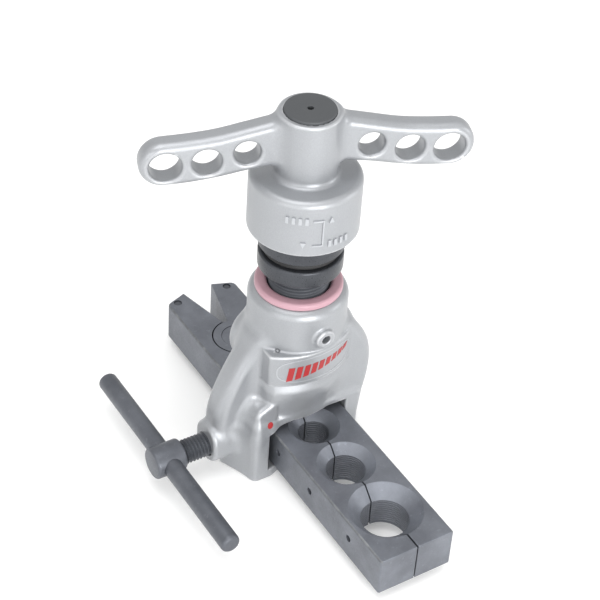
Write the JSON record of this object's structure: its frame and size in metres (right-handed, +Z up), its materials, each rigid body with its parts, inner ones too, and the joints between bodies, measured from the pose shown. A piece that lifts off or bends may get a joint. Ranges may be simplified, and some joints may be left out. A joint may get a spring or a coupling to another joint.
{
  "type": "flaring tool",
  "caption": "Flaring tool: a T-handled eccentric cone on a feed screw over a split, hinged die bar, held in a cast yoke by a side screw.",
  "frame": {"origin": "on the feed axis, at the lower mouth of the 3/8 inch die that stands under the cone", "axes": "+Z runs up the feed axis, Y along the die bar with its long end towards -Y, and the clamp screw is on -X"},
  "size_m": [0.1233, 0.17, 0.1636],
  "materials": {
    "silver_paint": "satin silver paint over a casting",
    "dark_steel": "dark phosphated steel, lightly oiled",
    "ground_steel": "ground",
    "polished_steel": "polished",
    "pink_plastic": "satin",
    "cap_plastic": "satin",
    "black_rubber": "matte"
  },
  "bodies": {
    "frame": {"yoke": "silver_paint", "neck_collar": "pink_plastic", "threaded_bush": "dark_steel", "bush_lock_screw": "dark_steel"},
    "thrust": {"thrust_washer": "ground_steel"},
    "feed": {"feed_screw": "dark_steel"},
    "drive": {"spindle": "ground_steel", "cone_snap_ring": "ground_steel", "clutch_ring": "dark_steel", "clutch_balls": "ground_steel", "clutch_springs": "ground_steel", "clutch_nut": "ground_steel", "upper_thrust_washer": "ground_steel", "friction_ring": "black_rubber"},
    "cone": {"flaring_cone": "polished_steel", "cone_needles": "ground_steel"},
    "handle": {"handle": "silver_paint", "handle_cap": "cap_plastic", "pressure_plate": "ground_steel", "drive_keys": "ground_steel"},
    "bar": {"die_bar_right": "dark_steel", "hinge_pin": "dark_steel", "tail_pin_right": "dark_steel", "die_dowel": "ground_steel"},
    "bar_leaf": {"die_bar_left": "dark_steel", "tail_pin_left": "dark_steel"},
    "clamp_point": {"clamp_tip": "ground_steel"},
    "clamp": {"clamp_screw": "dark_steel"},
    "tommy": {"tommy_bar": "dark_steel"}
  },
  "joints": [
    {"name": "feed_travel", "type": "slide", "parent": "frame", "child": "thrust", "axis": [0, 0, 1], "range_m": [-0.0074, 0.012]},
    {"name": "feed_turn", "type": "hinge", "parent": "thrust", "child": "feed", "pos_m": [0, 0, 0.066], "axis": [0, 0, 1], "range_deg": [-1776, 2880]},
    {"name": "spindle_turn", "type": "hinge", "parent": "feed", "child": "drive", "pos_m": [0, 0, 0.092], "axis": [0, 0, 1], "continuous": true},
    {"name": "cone_spin", "type": "hinge", "parent": "drive", "child": "cone", "pos_m": [0.001, 0, 0.03], "axis": [0, 0, 1], "continuous": true},
    {"name": "handle_shift", "type": "slide", "parent": "drive", "child": "handle", "axis": [0, 0, 1], "range_m": [0, 0.0025], "deforming": ["clutch_springs"]},
    {"name": "bar_slide", "type": "slide", "parent": "frame", "child": "bar", "axis": [0, -1, 0], "range_m": [-0.0702, 0.017]},
    {"name": "bar_open", "type": "hinge", "parent": "bar", "child": "bar_leaf", "pos_m": [0, 0.043, 0.00875], "axis": [0, 0, -1], "range_deg": [0, 1.2]},
    {"name": "clamp_travel", "type": "slide", "parent": "frame", "child": "clamp_point", "axis": [-1, 0, 0], "range_m": [-0.003, 0.003]},
    {"name": "clamp_turn", "type": "hinge", "parent": "clamp_point", "child": "clamp", "pos_m": [-0.04, 0, 0.00975], "axis": [-1, 0, 0], "range_deg": [-720, 720]},
    {"name": "tommy_slide", "type": "slide", "parent": "clamp", "child": "tommy", "axis": [0, 1, 0], "range_m": [-0.04, 0.04]}
  ],
  "couplings": [
    {"joint": "feed_turn", "follows": "feed_travel", "rad_per_m": 4188.8},
    {"joint": "clamp_travel", "follows": "clamp_turn", "m_per_rad": 0.00023873}
  ]
}
